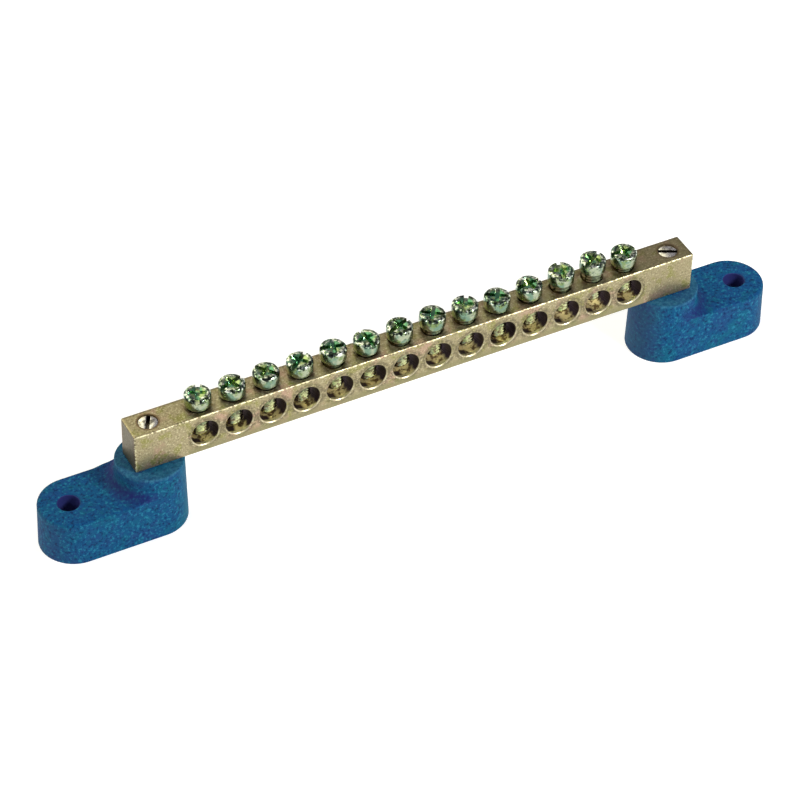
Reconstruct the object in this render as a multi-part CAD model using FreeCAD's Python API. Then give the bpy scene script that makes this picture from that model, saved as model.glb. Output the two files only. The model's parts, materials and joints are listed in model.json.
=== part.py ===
import FreeCAD, Part
import math
import os

# Earth terminal bar: a brass bar with clamp screws, carried on two moulded insulator feet.
# Millimetres. The origin is on the mounting surface, midway between the feet.
# +X runs along the bar, the wires enter from -Y, and +Z points up.

# Brass bar. It reaches END_LENGTH past the first and the last wire hole.
END_LENGTH = 14.525
BAR_DEPTH = 6.4
BAR_HEIGHT = 9.0
BAR_EDGE_ROUND = 0.35

# Wire holes, one under each clamp screw
WAY_COUNT = 14
WAY_PITCH = 7.15
WIRE_HOLE_DIAMETER = 5.7
WIRE_HOLE_ABOVE_UNDERSIDE = 4.5
WIRE_HOLE_CHAMFER = 0.15

# Clamp screws
CLAMP_HEAD_DIAMETER = 5.3
CLAMP_HEAD_HEIGHT = 2.5
CLAMP_HEAD_ROUND = 0.6
CLAMP_THREAD_DIAMETER = 4.0
CLAMP_SHANK_LENGTH = 7.7
CLAMP_TIP_CHAMFER = 1.0
CLAMP_SLOT_WIDTH = 0.9
CLAMP_SLOT_DEPTH = 1.0
CROSS_SPAN = 3.7
CROSS_FLOOR_SPAN = 1.3
CROSS_DEPTH = 1.5
# How far each head stands above the bar's top, from the left end to the right.
HEAD_LIFTS = (0.8, 0.6, 0.8, 0.7, 1.2, 0.8, 1.2, 1.5, 1.3, 0.6, 1.0, 1.8, 2.1, 1.3)
# Which way each head's slot points, in degrees from the bar's length.
SLOT_ANGLES = (64, 18, 128, 40, -14, 96, 22, -35, 55, 148, 8, 76, 33, -4)

# Fixing screws, sunk into the bar's top near its ends
FIXING_INSET = 4.2
FIXING_HEAD_DIAMETER = 3.7
FIXING_HEAD_HEIGHT = 1.9
FIXING_HEAD_SINK = 0.15
FIXING_THREAD_DIAMETER = 2.9
FIXING_SHANK_LENGTH = 12.0
FIXING_TIP_CHAMFER = 0.4
FIXING_SLOT_WIDTH = 0.8
FIXING_SLOT_DEPTH = 0.9
FIXING_SLOT_ANGLES = {"left": 62, "right": -28}

# Insulator feet
FOOT_RADIUS = 7.1
FOOT_DRAFT = 1.35
PLATE_HEIGHT = 9.8
PILLAR_HEIGHT = 14.7
FOOT_ARC_SPACING = 16.0
MOUNTING_HOLE_OFFSET = 16.9
MOUNTING_HOLE_DIAMETER = 4.3
MOUNTING_HOLE_CHAMFER = 0.25
PLATE_EDGE_ROUND = 0.7
PILLAR_EDGE_ROUND = 0.3
PILLAR_FILLET = 2.6
# How far past the hollow curve the plate's edge goes before its rounding is whole.
EDGE_RUNOUT = 3.0

# Brass inserts moulded into the pillars
INSERT_DIAMETER = 5.0
INSERT_LENGTH = 7.5
INSERT_GROOVE_WIDTH = 1.2
INSERT_GROOVE_DEPTH = 0.4
INSERT_CHAMFER = 0.3
SCREW_RUNOUT = 2.0

# Clearances between pieces, on the radius
THREAD_CLEARANCE = 0.05
FIXING_CLEARANCE = 0.2
COUNTERBORE_CLEARANCE = 0.15
INSERT_CLEARANCE = 0.02
HOLE_MOUTH_CHAMFER = 0.3

# Lengths, heights and places that follow from the sizes above
BAR_LENGTH = WAY_PITCH * (WAY_COUNT - 1) + 2 * END_LENGTH
BAR_TOP = PILLAR_HEIGHT + BAR_HEIGHT
WIRE_HOLE_HEIGHT = PILLAR_HEIGHT + WIRE_HOLE_ABOVE_UNDERSIDE
FIXING_X = BAR_LENGTH / 2 - FIXING_INSET
FIXING_SEAT = BAR_TOP - FIXING_HEAD_SINK - FIXING_HEAD_HEIGHT
FIRST_WAY_X = -WAY_PITCH * (WAY_COUNT - 1) / 2

# How far a cutter reaches past the face it cuts, and how near counts as the same place
OVERCUT = 1.0
SAME_PLACE = 1e-4

UP = FreeCAD.Vector(0, 0, 1)
BACK = FreeCAD.Vector(0, 1, 0)


def cylinder(radius, height, base, axis=UP):
    return Part.makeCylinder(radius, height, FreeCAD.Vector(*base), axis)


def cone(low_radius, high_radius, height, base, axis=UP):
    return Part.makeCone(low_radius, high_radius, height, FreeCAD.Vector(*base), axis)


def turned(points, x=0.0):
    """A solid turned about the upright axis at x, from (radius, height) points."""
    ring = [FreeCAD.Vector(radius, 0, height) for radius, height in points]
    face = Part.Face(Part.makePolygon(ring + ring[:1]))
    solid = face.revolve(FreeCAD.Vector(0, 0, 0), UP, 360)
    solid.translate(FreeCAD.Vector(x, 0, 0))
    return solid


def slab(length, width, low, high):
    """A box centred on the upright axis, from height low to height high."""
    corner = FreeCAD.Vector(-length / 2, -width / 2, low)
    return Part.makeBox(length, width, high - low, corner)


def circle_edges(shape, radius, height):
    """The shape's edges that are circles of this radius at this height."""
    found = []
    for edge in shape.Edges:
        round_edge = isinstance(edge.Curve, Part.Circle)
        if round_edge and abs(edge.Curve.Radius - radius) < SAME_PLACE:
            if abs(edge.Curve.Center.z - height) < SAME_PLACE:
                found.append(edge)
    return found


def way_positions():
    return [FIRST_WAY_X + WAY_PITCH * i for i in range(WAY_COUNT)]


def wire_hole(x):
    """Through the bar from front to back, with a small chamfer at both mouths."""
    radius = WIRE_HOLE_DIAMETER / 2
    mouth = radius + WIRE_HOLE_CHAMFER
    front = -BAR_DEPTH / 2
    centre = (x, front - OVERCUT, WIRE_HOLE_HEIGHT)
    hole = cylinder(radius, BAR_DEPTH + 2 * OVERCUT, centre, BACK)
    near = cone(mouth, radius, WIRE_HOLE_CHAMFER, (x, front, WIRE_HOLE_HEIGHT), BACK)
    far = cone(mouth, radius, WIRE_HOLE_CHAMFER, (x, -front, WIRE_HOLE_HEIGHT), -BACK)
    return hole.fuse([near, far])


def clamp_hole(x):
    """The tapped hole from the bar's top down into the wire hole, its thread left plain."""
    radius = CLAMP_THREAD_DIAMETER / 2 + THREAD_CLEARANCE
    depth = BAR_TOP - WIRE_HOLE_HEIGHT
    hole = cylinder(radius, depth + OVERCUT, (x, 0, WIRE_HOLE_HEIGHT))
    mouth_low = (x, 0, BAR_TOP - HOLE_MOUTH_CHAMFER)
    mouth = cone(radius, radius + HOLE_MOUTH_CHAMFER, HOLE_MOUTH_CHAMFER, mouth_low)
    return hole.fuse(mouth)


def fixing_hole(x):
    """A counterbored clearance hole for a fixing screw."""
    shank = FIXING_THREAD_DIAMETER / 2 + FIXING_CLEARANCE
    head = FIXING_HEAD_DIAMETER / 2 + COUNTERBORE_CLEARANCE
    through = cylinder(shank, BAR_HEIGHT + 2 * OVERCUT, (x, 0, PILLAR_HEIGHT - OVERCUT))
    seat = cylinder(head, BAR_TOP - FIXING_SEAT + OVERCUT, (x, 0, FIXING_SEAT))
    return through.fuse(seat)


def terminal_bar():
    corner = FreeCAD.Vector(-BAR_LENGTH / 2, -BAR_DEPTH / 2, PILLAR_HEIGHT)
    bar = Part.makeBox(BAR_LENGTH, BAR_DEPTH, BAR_HEIGHT, corner)
    bar = bar.makeFillet(BAR_EDGE_ROUND, bar.Edges)
    cutters = []
    for x in way_positions():
        cutters.append(wire_hole(x))
        cutters.append(clamp_hole(x))
    cutters.append(fixing_hole(-FIXING_X))
    cutters.append(fixing_hole(FIXING_X))
    return bar.cut(cutters)


def rounded_head(radius, height, rounding):
    """A cheese head standing on height 0, its top edge rounded."""
    head = cylinder(radius, height, (0, 0, 0))
    return head.makeFillet(rounding, circle_edges(head, radius, height))


def cross_wing(top):
    """One of the two tapered wings of the cross recess, along X."""
    half_top = CROSS_SPAN / 2
    half_floor = CROSS_FLOOR_SPAN / 2
    floor = top - CROSS_DEPTH
    back = -CLAMP_SLOT_WIDTH / 2
    corners = [(-half_top, top), (half_top, top), (half_floor, floor), (-half_floor, floor)]
    ring = [FreeCAD.Vector(x, back, z) for x, z in corners]
    face = Part.Face(Part.makePolygon(ring + ring[:1]))
    return face.extrude(BACK * CLAMP_SLOT_WIDTH)


def clamp_screw(x, lift, slot_angle):
    """A cheese-head screw with a slot and a cross, its thread left plain."""
    radius = CLAMP_THREAD_DIAMETER / 2
    tip = radius - CLAMP_TIP_CHAMFER
    head = rounded_head(CLAMP_HEAD_DIAMETER / 2, CLAMP_HEAD_HEIGHT, CLAMP_HEAD_ROUND)
    plain = CLAMP_SHANK_LENGTH - CLAMP_TIP_CHAMFER
    shank = cylinder(radius, plain, (0, 0, -plain))
    point = cone(tip, radius, CLAMP_TIP_CHAMFER, (0, 0, -CLAMP_SHANK_LENGTH))
    body = head.fuse([shank, point]).removeSplitter()
    top = CLAMP_HEAD_HEIGHT
    slot = slab(2 * CLAMP_HEAD_DIAMETER, CLAMP_SLOT_WIDTH, top - CLAMP_SLOT_DEPTH, top + OVERCUT)
    wing = cross_wing(top)
    across = wing.copy()
    across.rotate(FreeCAD.Vector(0, 0, 0), UP, 90)
    screw = body.cut([slot, wing, across])
    screw.rotate(FreeCAD.Vector(0, 0, 0), UP, slot_angle)
    screw.translate(FreeCAD.Vector(x, 0, BAR_TOP + lift))
    return screw


def fixing_screw(x, slot_angle):
    """A slotted screw that holds the bar down on a pillar."""
    radius = FIXING_THREAD_DIAMETER / 2
    tip = radius - FIXING_TIP_CHAMFER
    head = cylinder(FIXING_HEAD_DIAMETER / 2, FIXING_HEAD_HEIGHT, (0, 0, 0))
    plain = FIXING_SHANK_LENGTH - FIXING_TIP_CHAMFER
    shank = cylinder(radius, plain, (0, 0, -plain))
    point = cone(tip, radius, FIXING_TIP_CHAMFER, (0, 0, -FIXING_SHANK_LENGTH))
    body = head.fuse([shank, point]).removeSplitter()
    top = FIXING_HEAD_HEIGHT
    low = top - FIXING_SLOT_DEPTH
    slot = slab(2 * FIXING_HEAD_DIAMETER, FIXING_SLOT_WIDTH, low, top + OVERCUT)
    screw = body.cut(slot)
    screw.rotate(FreeCAD.Vector(0, 0, 0), UP, slot_angle)
    screw.translate(FreeCAD.Vector(x, 0, FIXING_SEAT))
    return screw


def foot_radius_at(height):
    """The radius of the foot's round ends, which lean in by the draft."""
    return FOOT_RADIUS - height * math.tan(math.radians(FOOT_DRAFT))


def drafted_obround(low, high):
    """The foot's outline between two heights, with its draft: two cones and the wall between."""
    low_radius = foot_radius_at(low)
    high_radius = foot_radius_at(high)
    height = high - low
    inner = cone(low_radius, high_radius, height, (FIXING_X, 0, low))
    outer = cone(low_radius, high_radius, height, (FIXING_X + FOOT_ARC_SPACING, 0, low))
    corners = [(-low_radius, low), (low_radius, low), (high_radius, high), (-high_radius, high)]
    ring = [FreeCAD.Vector(FIXING_X, y, z) for y, z in corners]
    face = Part.Face(Part.makePolygon(ring + ring[:1]))
    middle = face.extrude(FreeCAD.Vector(FOOT_ARC_SPACING, 0, 0))
    return inner.fuse([outer, middle]).removeSplitter()


def pillar_fillet():
    """The hollow curve where the pillar rises from the plate, kept inside the foot's outline."""
    wall = foot_radius_at(PLATE_HEIGHT)
    reach = wall + PILLAR_FILLET
    rise = PLATE_HEIGHT + PILLAR_FILLET
    bow = PILLAR_FILLET * (1 - math.sqrt(0.5))
    inside = FreeCAD.Vector(wall / 2, 0, PLATE_HEIGHT)
    outer = FreeCAD.Vector(reach, 0, PLATE_HEIGHT)
    middle = FreeCAD.Vector(wall + bow, 0, PLATE_HEIGHT + bow)
    upper = FreeCAD.Vector(wall, 0, rise)
    corner = FreeCAD.Vector(wall / 2, 0, rise)
    edges = [
        Part.LineSegment(inside, outer).toShape(),
        Part.Arc(outer, middle, upper).toShape(),
        Part.LineSegment(upper, corner).toShape(),
        Part.LineSegment(corner, inside).toShape(),
    ]
    ring = Part.Face(Part.Wire(edges)).revolve(FreeCAD.Vector(0, 0, 0), UP, 360)
    ring.translate(FreeCAD.Vector(FIXING_X, 0, 0))
    return ring.common(drafted_obround(PLATE_HEIGHT, rise))


def fillet_footing():
    """The plate's full corner under the hollow curve. Past it the plate's rounded edge runs in slowly."""
    low = PLATE_HEIGHT - PLATE_EDGE_ROUND
    reach = foot_radius_at(PLATE_HEIGHT) + PILLAR_FILLET
    ramp = cone(reach + EDGE_RUNOUT, reach, PLATE_EDGE_ROUND, (FIXING_X, 0, low))
    return ramp.common(drafted_obround(low, PLATE_HEIGHT))


def top_edges(shape, height):
    """The shape's edges that lie flat at this height."""
    found = []
    for edge in shape.Edges:
        box = edge.BoundBox
        if abs(box.ZMin - height) < SAME_PLACE and abs(box.ZMax - height) < SAME_PLACE:
            found.append(edge)
    return found


def right_insulator():
    """The foot at the bar's right end: a plate with the mounting hole, and a pillar for the bar."""
    plate = drafted_obround(0, PLATE_HEIGHT)
    plate = plate.makeFillet(PLATE_EDGE_ROUND, top_edges(plate, PLATE_HEIGHT))
    top_radius = foot_radius_at(PILLAR_HEIGHT)
    pillar = cone(FOOT_RADIUS, top_radius, PILLAR_HEIGHT, (FIXING_X, 0, 0))
    pillar = pillar.makeFillet(PILLAR_EDGE_ROUND, circle_edges(pillar, top_radius, PILLAR_HEIGHT))
    foot = plate.fuse([pillar, fillet_footing(), pillar_fillet()]).removeSplitter()
    hole_x = FIXING_X + MOUNTING_HOLE_OFFSET
    radius = MOUNTING_HOLE_DIAMETER / 2
    hole = cylinder(radius, PLATE_HEIGHT + 2 * OVERCUT, (hole_x, 0, -OVERCUT))
    mouth_low = (hole_x, 0, PLATE_HEIGHT - MOUNTING_HOLE_CHAMFER)
    mouth = cone(radius, radius + MOUNTING_HOLE_CHAMFER, MOUNTING_HOLE_CHAMFER, mouth_low)
    pocket_floor = (FIXING_X, 0, PILLAR_HEIGHT - INSERT_LENGTH)
    pocket = cylinder(INSERT_DIAMETER / 2 + INSERT_CLEARANCE, INSERT_LENGTH + OVERCUT, pocket_floor)
    runout_radius = FIXING_THREAD_DIAMETER / 2 + THREAD_CLEARANCE
    runout_floor = (FIXING_X, 0, PILLAR_HEIGHT - INSERT_LENGTH - SCREW_RUNOUT)
    runout = cylinder(runout_radius, SCREW_RUNOUT + OVERCUT, runout_floor)
    return foot.cut([hole, mouth, pocket, runout])


def threaded_insert(x):
    """A grooved brass bush in the pillar, which takes the fixing screw."""
    outer = INSERT_DIAMETER / 2
    waist = outer - INSERT_GROOVE_DEPTH
    bore = FIXING_THREAD_DIAMETER / 2 + THREAD_CLEARANCE
    low = PILLAR_HEIGHT - INSERT_LENGTH
    groove_low = low + (INSERT_LENGTH - INSERT_GROOVE_WIDTH) / 2
    groove_high = groove_low + INSERT_GROOVE_WIDTH
    profile = [
        (bore, low),
        (outer - INSERT_CHAMFER, low),
        (outer, low + INSERT_CHAMFER),
        (outer, groove_low),
        (waist, groove_low),
        (waist, groove_high),
        (outer, groove_high),
        (outer, PILLAR_HEIGHT),
        (bore, PILLAR_HEIGHT),
    ]
    return turned(profile, x)


def mirrored(shape):
    """The same piece at the bar's other end."""
    return shape.mirror(FreeCAD.Vector(0, 0, 0), FreeCAD.Vector(1, 0, 0))


def pieces():
    made = {"terminal_bar": terminal_bar()}
    for i, x in enumerate(way_positions()):
        lift = HEAD_LIFTS[i % len(HEAD_LIFTS)]
        angle = SLOT_ANGLES[i % len(SLOT_ANGLES)]
        made[f"clamp_screw_{i + 1:02d}"] = clamp_screw(x, lift, angle)
    made["insulator_right"] = right_insulator()
    made["insulator_left"] = mirrored(made["insulator_right"])
    for name, x in (("left", -FIXING_X), ("right", FIXING_X)):
        made[f"fixing_screw_{name}"] = fixing_screw(x, FIXING_SLOT_ANGLES[name])
        made[f"threaded_insert_{name}"] = threaded_insert(x)
    return made


os.makedirs("parts", exist_ok=True)
for node, shape in pieces().items():
    if not shape.isValid() or len(shape.Solids) != 1:
        raise ValueError(f"{node} is not one sound solid")
    shape.Solids[0].exportStep(f"parts/{node}.step")
    print(node, "volume", round(shape.Volume, 1), "mm3")
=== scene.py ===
import bmesh
import bpy
import json
import math
from mathutils import Matrix, Vector


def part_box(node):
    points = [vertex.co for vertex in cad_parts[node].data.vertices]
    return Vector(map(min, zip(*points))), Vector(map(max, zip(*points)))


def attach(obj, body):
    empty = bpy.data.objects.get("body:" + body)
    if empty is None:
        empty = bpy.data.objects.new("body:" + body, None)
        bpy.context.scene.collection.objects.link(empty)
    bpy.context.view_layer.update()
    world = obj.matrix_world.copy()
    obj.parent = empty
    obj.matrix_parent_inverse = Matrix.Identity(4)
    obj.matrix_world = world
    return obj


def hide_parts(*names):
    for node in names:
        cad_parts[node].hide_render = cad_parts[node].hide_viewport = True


# The look of the earth terminal bar: a brass bar with green-passivated clamp screws on blue feet.
# The scene is in metres, in the part's own frame: +X along the bar, the wires enter from -Y, +Z up.
# Sizes inside the materials are in millimetres, and colours are linear red, green and blue.
MM = 0.001

# Camera, at the photograph's viewing angle. Angles are in degrees.
CAMERA_AZIMUTH = -28.324
CAMERA_ELEVATION = 42.517
CAMERA_ROLL = -1.44
CAMERA_DISTANCE = 653.65 * MM
CAMERA_TARGET = Vector((-3.09, 0.0, 7.469)) * MM
CAMERA_LENS = 149.38
CAMERA_SENSOR = 36.0
CAMERA_NEAR = 0.01
CAMERA_FAR = 50.0

# Screws. THREAD_PROFILE is one pitch, as (share of the pitch, share of the depth below the crest).
THREAD_PITCH = 0.7 * MM
THREAD_DEPTH = 0.24 * MM
THREAD_SIDES = 56
THREAD_PROFILE = ((0.0, 0.0), (0.30, 0.0), (0.58, 1.0), (0.72, 1.0))
EDGE_EASE = 0.05 * MM
EDGE_SEGMENTS = 2
SHARP_ANGLE = 28.0
FLAT_ANGLE = 0.5
SAME_PLACE = 0.01 * MM
SAME_HEIGHT = 0.001 * MM
SAME_POINT = 1e-7
NO_LENGTH = 1e-8

# Brass of the bar
BRASS = (0.35, 0.300, 0.170)
BRASS_PINK = (0.43, 0.29, 0.20)
BRASS_OLIVE = (0.28, 0.265, 0.09)
BRASS_LOW_SHADE = (0.245, 0.232, 0.115)
BRASS_LIGHT = (0.66, 0.61, 0.40)
BRASS_BRIGHT = (0.64, 0.59, 0.36)
BRASS_DARK = (0.13, 0.11, 0.06)
BRASS_BROWN = (0.15, 0.088, 0.045)
HOLE_SHADE = (0.030, 0.014, 0.026)
HOLE_FLOOR = (0.82, 0.70, 0.38)
HOLE_BROWN = (0.15, 0.095, 0.042)
HOLE_LIP_HIGHLIGHT = (0.70, 0.63, 0.40)
BRASS_METALLIC = 0.85

# Zones of the bar, each as (how far it reaches from a face or a hole's edge, the fade at its end)
TOP_SKIN = (0.2, 0.1)
FRONT_SKIN = (0.1, 0.05)
SAWN_SKIN = (0.06, 0.03)
HOLE_CLEAR_OF_FACES = (-0.2, 0.3)
HOLE_CLEAR_OF_ENDS = (-0.2, 0.2)
# LONG_EDGE and END_EDGE: the rubbed edges of the bar, where a painted highlight lies
LONG_EDGE_DEPTH = (0.32, 0.2)
LONG_EDGE_HEIGHT = (0.48, 0.3)
END_EDGE = (0.40, 0.2)
# FAR_EDGE: the painted shade along the top's back edge and right end
FAR_EDGE = (0.8, 0.5)
SAWN_BURR = (1.1, 0.4)
# BELOW_HOLES: the painted shade along the front below the row of holes
BELOW_HOLES = (2.2, 1.2)
ROW_END = (0.0, 0.1)
HOLE_HALO = (1.3, 0.7)
MOUTH_RING = (0.3, 0.1)
MOUTH_DEPTH = (1.0, 0.3)
# LIP_RING: the painted highlight on each hole's lower lip
LIP_RING = (0.2, 0.1)

# Zones of the bar, each as (limit, fade). LIP_HEIGHT is from the hole's middle.
# BY_HEAD and BY_FIXING: painted shade on the bar's top round the clamp heads and the fixing screws
BY_HEAD = (3.6, 1.2)
BY_FIXING = (2.5, 0.3)
LIP_HEIGHT = (-1.6, 0.6)
# LOWER_LEFT: the painted shadow under each screw's tip on the hole's wall
LOWER_LEFT = (0.55, 0.9)
LOWER_LEFT_DEPTH = (0.9, 0.5)
SHADE_TO_RIGHT_END = (0.0, 60.0)

# The wire holes' walls, with heights from the hole's middle. The wall's own colour starts LIP_DEPTH
# behind the bar's front at the bottom of the hole and MOUTH_START behind it further up. The upper right
# of the wall has a painted shadow, whose edge follows the drill's rings, given in radians to a millimetre.
LIP_CHANGE = (-2.6, -1.8)
LIP_DEPTH = 0.60
MOUTH_START = 0.05
MOUTH_FADE = 0.35
MOUTH_SHINE_HEIGHT = (-1.8, 0.4)
MOUTH_SHINE = (1.0, 0.2)
SHADOW_LEAN = 0.8
SHADOW_EDGE = (-1.1, 0.2)
SHADOW_RINGS = 5.0
SHADOW_RING_SIZE = 0.3

# Relief of the bar: the drill's fine rings in the holes, and how far the drawn and sawn marks run
DRILL_RINGS = 18.0
DRAWN_STRETCH = (40.0, 1.0, 1.0)
SAWN_STRETCH = (1.0, 1.0, 12.0)

# Green passivation of the clamp screws, with the colours of the painted glints, dark reflections and
# highlights on them
GREEN_PALE = (0.38, 0.43, 0.30)
GREEN_LEAF = (0.20, 0.28, 0.11)
GREEN_TEAL = (0.17, 0.28, 0.20)
GREEN_DEEP = (0.055, 0.095, 0.070)
GREEN_DARK_REFLECTION = (0.018, 0.024, 0.022)
GREEN_GLINT = (0.78, 0.83, 0.70)
GREEN_HIGHLIGHT = (0.76, 0.76, 0.38)
EMERALD = (0.13, 0.34, 0.18)
LIME = (0.40, 0.52, 0.22)

# Zones of a clamp screw, each as (limit, fade). Heights are from the head's top.
SHANK_HEIGHT = (-2.55, 0.1)
CORE_HEIGHT = (-2.2, 0.1)
CORE_RADIUS = (1.7, 0.4)
# CROWN and RIM: where the painted glints and dark reflections on the head lie
CROWN_HEIGHT = (-0.75, 0.4)
CROWN_RADIUS = (1.4, 0.4)
RIM_HEIGHT = (-0.95, 0.3)
RIM_RADIUS = (2.15, 0.25)
# Shank zones: painted shade on its upper part under the bar, painted highlight on its right, painted shade
# on its left
SHANK_SHADE_HEIGHT = (-8.2, 2.6)
SHANK_HIGHLIGHT_SIDE = (-0.9, 0.8)
SHANK_SHADE_SIDE = (-0.4, 1.0)

# Bright zinc of the fixing screws, with the dull middle and the painted shade on the sides of the head as
# (limit, fade)
STEEL = (0.86, 0.84, 0.75)
STEEL_DARK = (0.10, 0.085, 0.06)
DULL_RADIUS = (1.15, 0.5)
SHADED_HEAD_SIDE_HEIGHT = (-0.10, 0.08)

# Blue plastic of the feet
BLUE = (0.004, 0.065, 0.163)
BLUE_VIOLET = (0.010, 0.054, 0.158)
BLUE_TEAL = (0.004, 0.087, 0.159)
BLUE_SPECK = (0.014, 0.158, 0.255)
BLUE_GRAIN = (0.003, 0.020, 0.075)
BLUE_FILLET_SHADE = (0.010, 0.014, 0.105)
BLUE_RIM_LIGHT = (0.036, 0.145, 0.235)
BLUE_TOP = (0.005, 0.058, 0.190)
BLUE_LEFT_SHADE = (0.026, 0.045, 0.109)
BLUE_RIGHT_LIGHT = (0.002, 0.120, 0.160)
BORE_SHADE = (0.028, 0.034, 0.155)
PLASTIC_SPECULAR = 0.06
PLASTIC_ROUGHNESS = 0.6

# Zones of the feet, each as (limit, fade) or, from the plate's top or a hole's edge, as (reach, fade)
PLATE_TOP = 9.8
PLATE_SKIN = (0.2, 0.1)
PLATE_RADIUS = (7.6, 1.0)
BORE_RING = (0.12, 0.08)
BORE_BOTTOM = (0.3, 0.2)
BORE_TOP_FADE = 0.1
# CORNER: the painted shade in the fillet round each pillar's foot
CORNER_RADIUS = (10.4, 3.5)
CORNER_FLOOR = (0.1, 0.1)
CORNER_HEIGHT = (2.6, 1.6)
CORNER_SIDE = (-1.0, 6.0)
# RIM: the painted light on each pillar's top rim
RIM_INNER_RADIUS = (3.0, 2.6)
RIM_SKIN = (0.7, 0.6)

# Painted shade on walls that face left and painted light on walls that face right: how far they face
# there, and its share from foot to foot
FACING = (0.30, 0.95)
BETWEEN_FEET = (-10.0, 10.0)
LEFT_TINT = (0.2, 0.55)
RIGHT_TINT = (0.45, 0.2)

# Floor
FLOOR = (0.70, 0.70, 0.70)
FLOOR_GLOW = 0.55
FLOOR_ROUGHNESS = 0.9
FLOOR_SIZE = 6.0

# Light. The sky is pale at the horizon, bright over a soft card behind the bar, and darker elsewhere.
SKY_HORIZON = (1.0, 1.0, 1.0)
SKY_DARK = (0.25, 0.24, 0.28)
SKY_CARD = (1.85, 1.77, 1.40)
CARD_DIRECTION = Vector((-0.45, 0.68, 0.58))
CARD_FADE = (0.60, 0.84)
HORIZON_FADE = (0.10, 0.36)
KEY_DIRECTION = Vector((0.40, -0.68, 0.58))
KEY_DISTANCE = 0.55
KEY_SIZE = 0.16
KEY_POWER = 2.3
SIDE_DIRECTION = Vector((-0.85, -0.25, 0.50))
SIDE_DISTANCE = 0.6
SIDE_SIZE = 0.10
SIDE_POWER = 0.3

# How far apart the patterns of two pieces of a shuffled material lie, in millimetres
SHUFFLE = 90.0


def make_camera():
    azimuth = math.radians(CAMERA_AZIMUTH)
    elevation = math.radians(CAMERA_ELEVATION)
    roll = math.radians(CAMERA_ROLL)
    level = math.cos(elevation)
    back = Vector((math.sin(azimuth) * level, -math.cos(azimuth) * level, math.sin(elevation)))
    right = Vector((math.cos(azimuth), math.sin(azimuth), 0))
    up = back.cross(right)
    rolled_right = right * math.cos(roll) - up * math.sin(roll)
    rolled_up = right * math.sin(roll) + up * math.cos(roll)
    placed = Matrix((rolled_right, rolled_up, back)).transposed().to_4x4()
    placed.translation = CAMERA_TARGET + back * CAMERA_DISTANCE
    data = bpy.data.cameras.new("camera")
    data.lens = CAMERA_LENS
    data.sensor_width = CAMERA_SENSOR
    data.clip_start = CAMERA_NEAR
    data.clip_end = CAMERA_FAR
    camera = bpy.data.objects.new("camera", data)
    camera.matrix_world = placed
    bpy.context.scene.collection.objects.link(camera)
    bpy.context.scene.camera = camera


class Nodes:
    """A node tree with short calls for the nodes that it needs."""

    def __init__(self, tree):
        self.tree = tree

    def add(self, kind, **settings):
        made = self.tree.nodes.new(kind)
        for name, value in settings.items():
            setattr(made, name, value)
        return made

    def link(self, source, target):
        self.tree.links.new(source, target)

    def math(self, operation, *values):
        made = self.add("ShaderNodeMath", operation=operation)
        for socket, value in zip(made.inputs, values):
            if isinstance(value, (int, float)):
                socket.default_value = value
            else:
                self.link(value, socket)
        return made.outputs[0]

    def product(self, first, *others):
        for other in others:
            first = self.math("MULTIPLY", first, other)
        return first

    def spread(self, value, edges, ends=(0.0, 1.0)):
        """Goes smoothly from one of the ends to the other while the value goes between the edges."""
        made = self.add("ShaderNodeMapRange", interpolation_type="SMOOTHSTEP")
        made.inputs["From Min"].default_value = edges[0]
        made.inputs["From Max"].default_value = edges[1]
        made.inputs["To Min"].default_value = ends[0]
        made.inputs["To Max"].default_value = ends[1]
        self.link(value, made.inputs["Value"])
        return made.outputs["Result"]

    def under(self, value, limit, fade):
        """One well under a limit, none from the limit up."""
        return self.spread(value, (limit, limit - fade))

    def over(self, value, limit, fade):
        """None up to a limit, one well over it."""
        return self.spread(value, (limit, limit + fade))

    def mix(self, share, first, second):
        """A colour between two, each a colour or a socket."""
        made = self.add("ShaderNodeMix", data_type="RGBA")
        self.link(share, made.inputs["Factor"])
        for socket, value in ((made.inputs[6], first), (made.inputs[7], second)):
            if isinstance(value, tuple):
                socket.default_value = (*value, 1)
            else:
                self.link(value, socket)
        return made.outputs[2]


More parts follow.
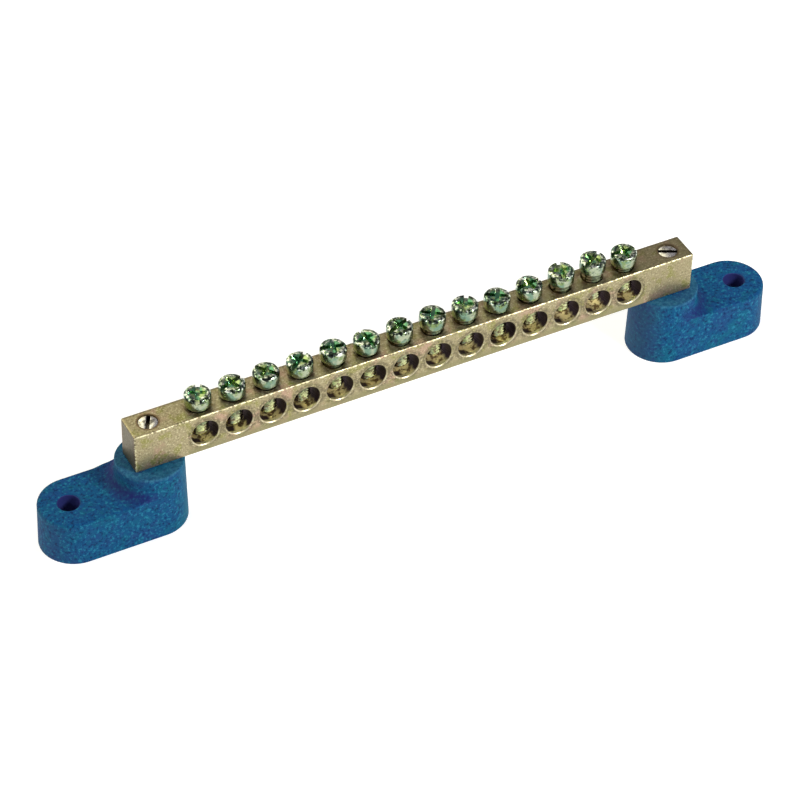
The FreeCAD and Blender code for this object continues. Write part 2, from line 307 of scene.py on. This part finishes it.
class Shader(Nodes):
    """A Principled material. A shuffled one has its own pattern on each piece."""

    def __init__(self, name, metallic=0.0, shuffled=False):
        self.material = bpy.data.materials.new(name)
        self.material.use_nodes = True
        super().__init__(self.material.node_tree)
        self.main = self.tree.nodes["Principled BSDF"]
        self.main.inputs["Metallic"].default_value = metallic
        self.shift = None
        if shuffled:
            self.shift = self.math("MULTIPLY", self.add("ShaderNodeObjectInfo").outputs["Random"], SHUFFLE)

    def place(self, stretch=(1.0, 1.0, 1.0)):
        """Object coordinates in millimetres, divided by stretch along each axis."""
        coordinate = self.add("ShaderNodeTexCoord")
        mapping = self.add("ShaderNodeMapping")
        mapping.inputs["Scale"].default_value = [1 / MM / s for s in stretch]
        self.link(coordinate.outputs["Object"], mapping.inputs["Vector"])
        return mapping.outputs["Vector"]

    def axes(self):
        """The object coordinates apart, in millimetres."""
        split = self.add("ShaderNodeSeparateXYZ")
        self.link(self.place(), split.inputs["Vector"])
        return split.outputs["X"], split.outputs["Y"], split.outputs["Z"]

    def facing_x(self):
        """How far the surface faces along X, from -1 to 1."""
        split = self.add("ShaderNodeSeparateXYZ")
        self.link(self.add("ShaderNodeTexCoord").outputs["Normal"], split.inputs["Vector"])
        return split.outputs["X"]

    def pattern_place(self, stretch):
        place = self.place(stretch)
        if self.shift is None:
            return place
        moved = self.add("ShaderNodeVectorMath", operation="ADD")
        self.link(place, moved.inputs[0])
        self.link(self.shift, moved.inputs[1])
        return moved.outputs["Vector"]

    def noise(self, size, detail=3.0, roughness=0.5, stretch=(1.0, 1.0, 1.0)):
        """Noise whose blobs are about size millimetres."""
        made = self.add("ShaderNodeTexNoise")
        made.inputs["Scale"].default_value = 1 / size
        made.inputs["Detail"].default_value = detail
        made.inputs["Roughness"].default_value = roughness
        self.link(self.pattern_place(stretch), made.inputs["Vector"])
        return made.outputs["Fac"]

    def waves(self, value, rate):
        """Smooth waves from 0 to 1 along a value, with rate radians to a millimetre."""
        return self.spread(self.math("SINE", self.math("MULTIPLY", value, rate)), (-1.0, 1.0))

    def distance(self, *sides):
        """The length of the straight line with these sides."""
        squares = [self.math("MULTIPLY", side, side) for side in sides]
        total = squares[0]
        for square in squares[1:]:
            total = self.math("ADD", total, square)
        return self.math("SQRT", total)

    def below_face(self, value, face, zone):
        """None up to a zone's reach below a face, one well over that."""
        reach, fade = zone
        return self.over(value, face - reach, fade)

    def above_face(self, value, face, zone):
        """One well under a zone's reach above a face or past a hole's edge, none from there up."""
        reach, fade = zone
        return self.under(value, face + reach, fade)

    def coat(self, below, colour, *zones, pattern=None, edges=(0.0, 1.0), share=1.0, rest=0.0):
        """A colour laid over another in the zones, with a share that follows the pattern, if there is one.

        The share goes from rest, at the pattern's first edge, to share, at its second.
        """
        shares = list(zones)
        if pattern is not None:
            shares.append(self.spread(pattern, edges, (rest, share)))
        elif share < 1.0:
            shares.append(share)
        return self.mix(self.product(*shares), below, colour)

    def bump(self, height, relief, below=None):
        """Bump of a height from 0 to 1 that stands for relief millimetres."""
        made = self.add("ShaderNodeBump")
        made.inputs["Distance"].default_value = relief * MM
        self.link(height, made.inputs["Height"])
        if below is not None:
            self.link(below, made.inputs["Normal"])
        return made.outputs["Normal"]

    def finish(self, colour, roughness, normal):
        self.link(colour, self.main.inputs["Base Color"])
        if isinstance(roughness, float):
            self.main.inputs["Roughness"].default_value = roughness
        else:
            self.link(roughness, self.main.inputs["Roughness"])
        self.link(normal, self.main.inputs["Normal"])
        return self.material


def bar_material():
    """Drawn brass with sawn ends and drilled wire holes, whose places come from the record's mounts."""
    low, high = (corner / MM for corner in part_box("terminal_bar"))
    first = mounts["wire_entry_01"]
    second = mounts["wire_entry_02"]
    first_x, first_z = first["pos_m"][0] / MM, first["pos_m"][2] / MM
    pitch = (second["pos_m"][0] - first["pos_m"][0]) / MM
    hole_radius = first["dims"]["r_mm"]

    s = Shader("bar_brass", metallic=BRASS_METALLIC)
    x, y, z = s.axes()
    depth = s.math("ABSOLUTE", y)
    along = s.math("ABSOLUTE", x)
    across = s.math("WRAP", s.math("SUBTRACT", x, first_x), pitch / 2, -pitch / 2)
    over_hole = s.math("SUBTRACT", z, first_z)
    from_hole = s.distance(across, over_hole)
    from_fixing = s.distance(s.math("SUBTRACT", along, fixing_x), y)

    in_row = s.above_face(along, abs(first_x) + pitch / 2, ROW_END)
    on_top = s.below_face(z, high.z, TOP_SKIN)
    on_front = s.below_face(depth, high.y, FRONT_SKIN)
    sawn = s.below_face(along, high.x, SAWN_SKIN)
    long_edge = s.product(
        s.below_face(depth, high.y, LONG_EDGE_DEPTH), s.below_face(z, high.z, LONG_EDGE_HEIGHT)
    )
    end_edge = s.product(s.below_face(depth, high.y, END_EDGE), s.below_face(along, high.x, END_EDGE))
    worn_and_highlit_edge = s.math("MAXIMUM", long_edge, end_edge)
    far_edge_shade = s.math("MAXIMUM", s.below_face(y, high.y, FAR_EDGE), s.below_face(x, high.x, FAR_EDGE))
    head_shade = s.product(s.under(s.distance(across, y), *BY_HEAD), on_top, in_row)
    fixing_shade = s.product(s.under(from_fixing, *BY_FIXING), on_top)
    by_hole = s.product(s.above_face(from_hole, hole_radius, HOLE_HALO), on_front, in_row)
    mouth = s.product(
        s.above_face(from_hole, hole_radius, MOUTH_RING), s.below_face(depth, high.y, MOUTH_DEPTH), in_row
    )
    lit_lower_lip = s.product(
        s.above_face(from_hole, hole_radius, LIP_RING), s.under(over_hole, *LIP_HEIGHT), in_row
    )
    wall_start = s.spread(over_hole, LIP_CHANGE, (high.y - LIP_DEPTH, high.y - MOUTH_START))
    inside = s.product(
        s.under(s.math("SUBTRACT", depth, wall_start), 0.0, MOUTH_FADE),
        s.below_face(z, low.z, HOLE_CLEAR_OF_FACES),
        s.above_face(z, high.z, HOLE_CLEAR_OF_FACES),
        s.above_face(along, high.x, HOLE_CLEAR_OF_ENDS),
    )

    blotches = s.noise(size=4.5, roughness=0.6)
    clouds = s.noise(size=3.0, roughness=0.6)
    patches = s.noise(size=1.3, detail=2.0, roughness=0.6)
    spots = s.noise(size=0.55, detail=2.0, roughness=0.6)
    specks = s.noise(size=0.40, detail=2.0, roughness=0.7)
    colour = s.coat(BRASS, BRASS_PINK, pattern=blotches, edges=(0.50, 0.66))
    colour = s.coat(colour, BRASS_OLIVE, pattern=clouds, edges=(0.50, 0.64))
    colour = s.coat(colour, BRASS_LIGHT, pattern=specks, edges=(0.54, 0.68), share=0.8)
    colour = s.coat(colour, BRASS_DARK, pattern=specks, edges=(0.46, 0.32), share=0.7)
    # Painted shade round the heads' bases on the bar's top, mottled with lighter patches
    colour = s.coat(colour, BRASS_BROWN, head_shade, pattern=patches, edges=(0.46, 0.56), share=0.7)
    colour = s.coat(colour, BRASS_LIGHT, head_shade, pattern=patches, edges=(0.46, 0.38), share=0.5)
    colour = s.coat(colour, BRASS_DARK, by_hole, pattern=spots, edges=(0.42, 0.50), share=0.75)
    # Painted shade on the bar's top round the fixing screws' counterbores
    colour = s.coat(colour, BRASS_BROWN, fixing_shade, share=0.75)
    # Painted shade: the bar darker towards its right end, most on the top
    colour = s.coat(colour, BRASS_DARK, s.over(x, *SHADE_TO_RIGHT_END), pattern=on_top, share=0.55, rest=0.13)
    # Sawn ends darker, partly as duller sawn brass and partly as painted shade on the end faces
    colour = s.coat(colour, BRASS_DARK, sawn, pattern=spots, edges=(0.20, 0.42), rest=0.55)
    colour = s.coat(colour, BRASS_BROWN, sawn, s.below_face(depth, high.y, SAWN_BURR), share=0.5)
    # Painted shade along the front below the row of holes
    colour = s.coat(colour, BRASS_LOW_SHADE, s.above_face(z, low.z, BELOW_HOLES), in_row, share=0.7)
    # Rubbed edges with a painted highlight along them, broken by darker spots
    colour = s.coat(colour, BRASS_BRIGHT, worn_and_highlit_edge, pattern=spots, edges=(0.49, 0.53))
    colour = s.coat(colour, BRASS_DARK, worn_and_highlit_edge, pattern=spots, edges=(0.47, 0.40), share=0.7)
    # Painted shade along the top's back edge and right end
    colour = s.coat(colour, BRASS_DARK, far_edge_shade, on_top, pattern=spots, edges=(0.36, 0.54), share=0.85)
    # Painted highlight, strongest on the lower part of each hole's mouth
    shine = s.spread(over_hole, MOUTH_SHINE_HEIGHT, MOUTH_SHINE)
    colour = s.coat(colour, BRASS_LIGHT, mouth, shine, pattern=spots, edges=(0.40, 0.56))
    # Painted highlight on the lower lip inside each hole
    colour = s.coat(colour, HOLE_LIP_HIGHLIGHT, lit_lower_lip, pattern=spots, edges=(0.36, 0.54), rest=0.45)

    rings = s.math("MULTIPLY", s.waves(y, SHADOW_RINGS), SHADOW_RING_SIZE)
    upper_right = s.math("ADD", s.math("MULTIPLY", across, SHADOW_LEAN), over_hole)
    shadow = s.spread(s.math("ADD", upper_right, rings), SHADOW_EDGE)
    # Painted shadow of the screw's tip on the lower left of the wall, joined to the upper right one
    lower_left = s.product(
        s.under(s.math("ADD", across, patches), *LOWER_LEFT), s.over(depth, *LOWER_LEFT_DEPTH)
    )
    shadow = s.math("MAXIMUM", shadow, lower_left)
    # Brown patches on the hole walls
    wall_patches = s.noise(size=1.0, detail=2.0, roughness=0.6)
    wall = s.coat(HOLE_FLOOR, HOLE_BROWN, pattern=wall_patches, edges=(0.45, 0.61))
    wall = s.coat(wall, HOLE_SHADE, shadow)
    colour = s.coat(colour, wall, inside)

    drawn = s.noise(size=0.16, roughness=0.6, stretch=DRAWN_STRETCH)
    saw = s.noise(size=0.20, roughness=0.6, stretch=SAWN_STRETCH)
    roughness = s.spread(s.math("ADD", drawn, specks), edges=(0.7, 1.3), ends=(0.28, 0.48))
    normal = s.bump(specks, relief=0.03)
    normal = s.bump(drawn, relief=0.006, below=normal)
    normal = s.bump(s.product(saw, sawn), relief=0.05, below=normal)
    normal = s.bump(s.product(s.waves(y, DRILL_RINGS), inside), relief=0.03, below=normal)
    return s.finish(colour, roughness, normal)


def insert_material():
    s = Shader("insert_brass", metallic=1.0)
    colour = s.coat(BRASS, BRASS_LIGHT, pattern=s.noise(size=1.5), edges=(0.45, 0.65))
    grain = s.noise(size=0.3)
    roughness = s.spread(grain, edges=(0.3, 0.7), ends=(0.25, 0.40))
    return s.finish(colour, roughness, s.bump(grain, relief=0.01))


def passivated_material():
    """Zinc with a green passivation that runs from teal to lime, with painted glints and dark reflections
    on the head and painted light and shade on the shank. The origin is at the head's top.
    """
    s = Shader("passivated_steel", metallic=1.0, shuffled=True)
    x, y, z = s.axes()
    from_axis = s.distance(x, y)
    shank = s.under(z, *SHANK_HEIGHT)
    core = s.product(s.under(from_axis, *CORE_RADIUS), s.over(z, *CORE_HEIGHT))
    crown = s.product(s.over(z, *CROWN_HEIGHT), s.over(from_axis, *CROWN_RADIUS))
    rim = s.product(s.over(z, *RIM_HEIGHT), s.over(from_axis, *RIM_RADIUS))

    spots = s.noise(size=0.85, detail=2.0, roughness=0.6)
    marks = s.noise(size=0.65, detail=1.0)
    jewel = s.coat(EMERALD, LIME, pattern=s.noise(size=3.2), edges=(0.47, 0.55))
    jewel = s.coat(jewel, GREEN_DEEP, pattern=spots, edges=(0.56, 0.64), share=0.6)
    colour = s.coat(GREEN_PALE, GREEN_TEAL, pattern=s.noise(size=2.2), edges=(0.42, 0.58))
    colour = s.coat(colour, GREEN_LEAF, pattern=s.noise(size=1.4), edges=(0.50, 0.62))
    colour = s.coat(colour, GREEN_DEEP, pattern=spots, edges=(0.56, 0.66), share=0.6)
    # Painted dark reflections and painted glints in flecks round the crown and the outer rim of the head
    colour = s.coat(colour, GREEN_DARK_REFLECTION, crown, pattern=marks, edges=(0.53, 0.58), share=0.9)
    colour = s.coat(colour, GREEN_GLINT, crown, pattern=marks, edges=(0.45, 0.40))
    colour = s.coat(colour, GREEN_DARK_REFLECTION, rim, pattern=marks, edges=(0.50, 0.55), share=0.9)
    colour = s.coat(colour, jewel, core)
    colour = s.coat(colour, LIME, shank, pattern=s.noise(size=2.4), edges=(0.44, 0.54))
    # Painted highlight along the shank's right side
    colour = s.coat(colour, GREEN_HIGHLIGHT, shank, s.over(x, *SHANK_HIGHLIGHT_SIDE), share=0.6)
    colour = s.coat(colour, BRASS_BROWN, shank, pattern=marks, edges=(0.50, 0.56), share=0.75)
    # Painted shade on the shank under the bar, fading out towards the tip
    colour = s.coat(colour, GREEN_DEEP, shank, s.over(z, *SHANK_SHADE_HEIGHT), share=0.75)
    # Painted shade on the shank's left side
    colour = s.coat(colour, HOLE_BROWN, shank, s.under(x, *SHANK_SHADE_SIDE), share=0.75)

    roughness = s.spread(s.noise(size=0.6), edges=(0.35, 0.65), ends=(0.12, 0.30))
    return s.finish(colour, roughness, s.bump(spots, relief=0.07))


def steel_material():
    """Bright zinc. The origin is at the head's top."""
    s = Shader("bright_steel", metallic=1.0, shuffled=True)
    x, y, z = s.axes()
    middle = s.under(s.distance(x, y), *DULL_RADIUS)
    spots = s.noise(size=0.8)
    grain = s.noise(size=0.25)
    colour = s.coat(STEEL, STEEL_DARK, pattern=spots, edges=(0.50, 0.66), share=0.7)
    colour = s.coat(colour, STEEL_DARK, middle, pattern=spots, edges=(0.40, 0.56), share=0.6)
    # Painted shade on the sides of the head, sunk in the bar's counterbore
    colour = s.coat(colour, STEEL_DARK, s.under(z, *SHADED_HEAD_SIDE_HEIGHT))
    roughness = s.spread(grain, edges=(0.3, 0.7), ends=(0.16, 0.32))
    return s.finish(colour, roughness, s.bump(grain, relief=0.012))


def plastic_material():
    """Moulded plastic with a fine speckled grain, dark inside the mounting holes."""
    holes = mounts["mounting_holes"]
    hole_x = holes["dims"]["spacing_x_mm"] / 2
    hole_radius = holes["dims"]["hole_r_mm"]
    pillar_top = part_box("insulator_left")[1].z / MM

    s = Shader("blue_plastic")
    s.main.inputs["Specular IOR Level"].default_value = PLASTIC_SPECULAR
    x, y, z = s.axes()
    along = s.math("ABSOLUTE", x)
    from_hole = s.distance(s.math("SUBTRACT", along, hole_x), y)
    past_pillar = s.math("SUBTRACT", along, fixing_x)
    from_pillar = s.distance(past_pillar, y)
    facing = s.facing_x()

    plate = s.product(s.over(from_pillar, *PLATE_RADIUS), s.below_face(z, PLATE_TOP, PLATE_SKIN))
    rim = s.product(s.over(from_pillar, *RIM_INNER_RADIUS), s.below_face(z, pillar_top, RIM_SKIN))
    corner = s.product(
        s.under(from_pillar, *CORNER_RADIUS),
        s.below_face(z, PLATE_TOP, CORNER_FLOOR),
        s.above_face(z, PLATE_TOP, CORNER_HEIGHT),
        s.over(past_pillar, *CORNER_SIDE),
    )
    bore = s.product(
        s.above_face(from_hole, hole_radius, BORE_RING),
        s.over(z, *BORE_BOTTOM),
        s.under(z, PLATE_TOP, BORE_TOP_FADE),
    )
    facing_left = s.spread(s.math("MULTIPLY", facing, -1.0), FACING)
    facing_right = s.spread(facing, FACING)

    clouds = s.noise(size=7.0, detail=2.0)
    specks = s.noise(size=0.60, detail=2.0, roughness=0.65)
    colour = s.coat(BLUE, BLUE_TEAL, pattern=clouds, edges=(0.52, 0.35))
    colour = s.coat(colour, BLUE_VIOLET, pattern=clouds, edges=(0.50, 0.68))
    colour = s.coat(colour, BLUE_TOP, plate, share=0.6)
    colour = s.coat(colour, BLUE_TEAL, pattern=s.noise(size=1.8), edges=(0.50, 0.66), share=0.7)
    colour = s.coat(colour, BLUE_VIOLET, pattern=s.noise(size=1.1), edges=(0.54, 0.66), share=0.7)
    colour = s.coat(colour, BLUE_SPECK, pattern=specks, edges=(0.55, 0.68), share=0.9)
    colour = s.coat(colour, BLUE_GRAIN, pattern=specks, edges=(0.45, 0.32), share=0.9)
    # Painted shade in the fillet round the pillar's foot
    colour = s.coat(colour, BLUE_FILLET_SHADE, corner, pattern=specks, edges=(0.65, 0.40), rest=0.75)
    # Painted light on the pillar's top rim
    colour = s.coat(colour, BLUE_RIM_LIGHT, rim, pattern=specks, edges=(0.42, 0.62), rest=0.30, share=0.75)
    # Painted shade on walls facing left and painted light on walls facing right
    colour = s.coat(colour, BLUE_LEFT_SHADE, facing_left, s.spread(x, BETWEEN_FEET, LEFT_TINT))
    colour = s.coat(colour, BLUE_RIGHT_LIGHT, facing_right, s.spread(x, BETWEEN_FEET, RIGHT_TINT))
    colour = s.coat(colour, BORE_SHADE, bore)
    return s.finish(colour, PLASTIC_ROUGHNESS, s.bump(specks, relief=0.05))


def floor_material():
    s = Shader("floor")
    s.main.inputs["Emission Color"].default_value = (1, 1, 1, 1)
    s.main.inputs["Emission Strength"].default_value = FLOOR_GLOW
    s.main.inputs["Base Color"].default_value = (*FLOOR, 1)
    s.main.inputs["Roughness"].default_value = FLOOR_ROUGHNESS
    return s.material


def paint(piece, material):
    piece.data.materials.clear()
    piece.data.materials.append(material)


def smooth(mesh):
    """Smooth faces, with edges past the sharp angle left sharp."""
    mesh.shade_smooth()
    mesh.set_sharp_from_angle(angle=math.radians(SHARP_ANGLE))


def add_thread(shape, centre, crest, low, high, tip_radius):
    """A threaded rod about the upright line at centre, between two heights.

    A chamfer of 45 degrees runs from the tip's radius up to the crest.
    """
    rows = []
    turns = int((high - low) / THREAD_PITCH) + 2
    for turn in range(-1, turns):
        for share, drop in THREAD_PROFILE:
            row = []
            for side in range(THREAD_SIDES + 1):
                lead = side / THREAD_SIDES
                height = low + (turn + share + lead) * THREAD_PITCH
                height = min(max(height, low), high)
                reach = min(crest - THREAD_DEPTH * drop, tip_radius + height - low)
                angle = 2 * math.pi * lead
                spot = (centre.x + reach * math.cos(angle), centre.y + reach * math.sin(angle), height)
                row.append(shape.verts.new(spot))
            rows.append(row)
    for under, over in zip(rows, rows[1:]):
        for side in range(THREAD_SIDES):
            shape.faces.new((under[side], under[side + 1], over[side + 1], over[side]))
    end = [shape.verts.new(vertex.co) for vertex in rows[0][:-1]]
    shape.faces.new(list(reversed(end)))


def ease_edges(shape):
    """Merges flat neighbours and rounds the sharp edges."""
    bmesh.ops.dissolve_limit(
        shape, angle_limit=math.radians(FLAT_ANGLE), verts=shape.verts, edges=shape.edges
    )
    sharp = [
        edge
        for edge in shape.edges
        if len(edge.link_faces) == 2 and edge.calc_face_angle() > math.radians(SHARP_ANGLE)
    ]
    bmesh.ops.bevel(
        shape, geom=sharp, offset=EDGE_EASE, segments=EDGE_SEGMENTS, profile=0.5, affect="EDGES",
        clamp_overlap=True,
    )


def eased_screw_piece(name, node, material, threaded):
    """The screw of a CAD node with its edges eased and, where asked, its plain shank threaded."""
    low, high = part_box(node)
    centre = (low + high) / 2
    shape = bmesh.new()
    shape.from_mesh(frame["nodes"][node].data)
    bmesh.ops.remove_doubles(shape, verts=shape.verts, dist=SAME_POINT)

    def reach(vertex):
        return math.hypot(vertex.co.x - centre.x, vertex.co.y - centre.y)

    head_radius = (high.x - low.x) / 2
    underside = min(v.co.z for v in shape.verts if reach(v) > head_radius - SAME_PLACE)
    crest = max(reach(v) for v in shape.verts if v.co.z < underside - SAME_PLACE)
    tip_radius = max(reach(v) for v in shape.verts if v.co.z < low.z + SAME_HEIGHT)
    if threaded:
        shank = [f for f in shape.faces if f.calc_center_median().z < underside - SAME_PLACE]
        bmesh.ops.delete(shape, geom=shank, context="FACES")
    ease_edges(shape)
    if threaded:
        add_thread(shape, centre, crest, low.z, underside, tip_radius)
    bmesh.ops.remove_doubles(shape, verts=shape.verts, dist=SAME_POINT)
    bmesh.ops.dissolve_degenerate(shape, dist=NO_LENGTH, edges=shape.edges)
    bmesh.ops.recalc_face_normals(shape, faces=shape.faces)
    origin = Vector((centre.x, centre.y, high.z))
    bmesh.ops.translate(shape, verts=shape.verts, vec=-origin)
    mesh = bpy.data.meshes.new(name)
    shape.to_mesh(mesh)
    shape.free()
    smooth(mesh)
    piece = bpy.data.objects.new(name, mesh)
    piece.location = origin
    bpy.context.scene.collection.objects.link(piece)
    paint(piece, material)
    return piece


def make_floor():
    bpy.ops.mesh.primitive_plane_add(size=FLOOR_SIZE, location=(0, 0, 0))
    floor = bpy.context.object
    floor.name = "floor"
    paint(floor, floor_material())


def area_light(name, direction, distance, size, power):
    data = bpy.data.lights.new(name, "AREA")
    data.shape = "DISK"
    data.size = size
    data.energy = power
    light = bpy.data.objects.new(name, data)
    light.location = CAMERA_TARGET + direction.normalized() * distance
    light.rotation_euler = direction.to_track_quat("Z", "Y").to_euler()
    bpy.context.scene.collection.objects.link(light)


def make_world():
    world = bpy.data.worlds.new("studio")
    bpy.context.scene.world = world
    world.use_nodes = True
    n = Nodes(world.node_tree)
    direction = n.add("ShaderNodeTexCoord").outputs["Generated"]
    toward = n.add("ShaderNodeVectorMath", operation="DOT_PRODUCT")
    n.link(direction, toward.inputs[0])
    toward.inputs[1].default_value = CARD_DIRECTION.normalized()
    sky = n.mix(n.spread(toward.outputs["Value"], CARD_FADE), SKY_DARK, SKY_CARD)
    split = n.add("ShaderNodeSeparateXYZ")
    n.link(direction, split.inputs["Vector"])
    sky = n.mix(n.spread(split.outputs["Z"], HORIZON_FADE), SKY_HORIZON, sky)
    n.link(sky, n.tree.nodes["Background"].inputs["Color"])


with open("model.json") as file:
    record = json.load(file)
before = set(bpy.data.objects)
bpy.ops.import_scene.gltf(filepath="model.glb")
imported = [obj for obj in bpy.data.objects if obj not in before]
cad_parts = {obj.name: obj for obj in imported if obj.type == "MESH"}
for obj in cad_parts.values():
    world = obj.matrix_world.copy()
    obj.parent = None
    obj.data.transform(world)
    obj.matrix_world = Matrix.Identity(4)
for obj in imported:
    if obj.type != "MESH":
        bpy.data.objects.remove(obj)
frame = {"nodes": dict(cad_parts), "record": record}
mounts = {mount["name"]: mount for mount in frame["record"]["mounts"]}
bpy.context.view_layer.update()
fixing_x = sum(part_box("fixing_screw_right"), Vector()).x / 2 / MM

bpy.context.scene.view_settings.view_transform = "Standard"
make_camera()
make_world()
make_floor()
area_light("key", KEY_DIRECTION, KEY_DISTANCE, KEY_SIZE, KEY_POWER)
area_light("side", SIDE_DIRECTION, SIDE_DISTANCE, SIDE_SIZE, SIDE_POWER)

materials = {
    "bar_brass": bar_material(),
    "insert_brass": insert_material(),
    "passivated_steel": passivated_material(),
    "bright_steel": steel_material(),
    "blue_plastic": plastic_material(),
}
node_materials = {
    "terminal_bar": "bar_brass",
    "insulator": "blue_plastic",
    "threaded_insert": "insert_brass",
}
for node, item in frame["nodes"].items():
    for start, slot in node_materials.items():
        if node.startswith(start):
            paint(item, materials[slot])
            smooth(item.data)

# The start of a screw's name, the material slot it has and whether it gets a thread
screw_kinds = (("clamp_screw", "passivated_steel", True), ("fixing_screw", "bright_steel", False))
for body, members in frame["record"]["behaviour"]["bodies"].items():
    for node in members:
        for start, slot, threaded in screw_kinds:
            if node.startswith(start):
                screw = eased_screw_piece("look_" + node, node, materials[slot], threaded)
                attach(screw, body)
                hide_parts(node)
